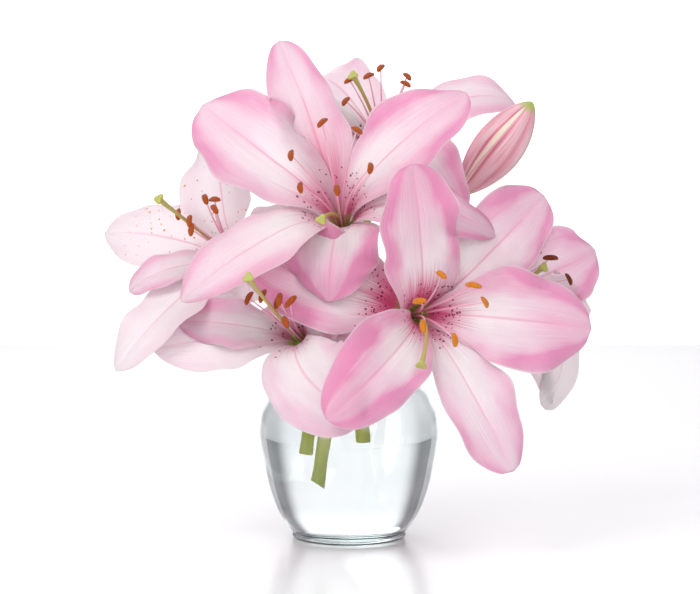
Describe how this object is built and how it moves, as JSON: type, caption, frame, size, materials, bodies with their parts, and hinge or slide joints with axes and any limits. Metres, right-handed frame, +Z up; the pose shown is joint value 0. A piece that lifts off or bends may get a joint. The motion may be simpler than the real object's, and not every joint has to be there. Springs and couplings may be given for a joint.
{
  "type": "lilies in a vase",
  "caption": "Pink lilies with open flowers and a bud, on green stems in a round clear glass vase nearly full of water.",
  "frame": {"origin": "centre of the vase's flat base, where it stands on the table", "axes": "+Z up, -Y towards the front of the bunch, +X to the right as seen from the front"},
  "size_m": [0.3019, 0.1799, 0.2966],
  "materials": {
    "stem": "satin green plant stem",
    "vase_glass": "clear polished glass",
    "water": "clear still water",
    "stamen": "powdery rust anthers on smooth pink filaments",
    "pistil": "waxy olive",
    "bud": "waxy pink with pale ribs",
    "petal_pink": "soft satin, finely veined",
    "petal_pale": "soft satin, finely veined"
  },
  "bodies": {
    "root": {"stem_left": "stem", "stem_middle": "stem", "stem_right": "stem", "vase": "vase_glass", "water": "water", "top_stamens": "stamen", "top_pistil": "pistil", "right_stamens": "stamen", "right_pistil": "pistil", "low_stamens": "stamen", "low_pistil": "pistil", "left_stamens": "stamen", "left_pistil": "pistil", "back_stamens": "stamen", "back_pistil": "pistil", "far_stamens": "stamen", "far_pistil": "pistil", "bud": "bud", "top_petal_1": "petal_pink", "top_petal_2": "petal_pink", "top_petal_3": "petal_pink", "top_sepal_1": "petal_pink", "top_sepal_2": "petal_pink", "top_sepal_3": "petal_pink", "right_petal_1": "petal_pink", "right_petal_2": "petal_pink", "right_petal_3": "petal_pink", "right_sepal_1": "petal_pink", "right_sepal_2": "petal_pink", "right_sepal_3": "petal_pink", "low_petal_1": "petal_pink", "low_petal_2": "petal_pink", "low_petal_3": "petal_pink", "low_sepal_1": "petal_pink", "low_sepal_2": "petal_pink", "low_sepal_3": "petal_pink", "left_petal_1": "petal_pale", "left_petal_2": "petal_pale", "left_petal_3": "petal_pale", "left_sepal_1": "petal_pale", "left_sepal_2": "petal_pale", "left_sepal_3": "petal_pale", "back_petal_1": "petal_pink", "back_petal_2": "petal_pink", "back_petal_3": "petal_pink", "back_sepal_1": "petal_pink", "back_sepal_2": "petal_pink", "back_sepal_3": "petal_pink", "far_petal_1": "petal_pale", "far_petal_2": "petal_pale", "far_petal_3": "petal_pale", "far_sepal_1": "petal_pale", "far_sepal_2": "petal_pale", "far_sepal_3": "petal_pale"}
  },
  "joints": []
}
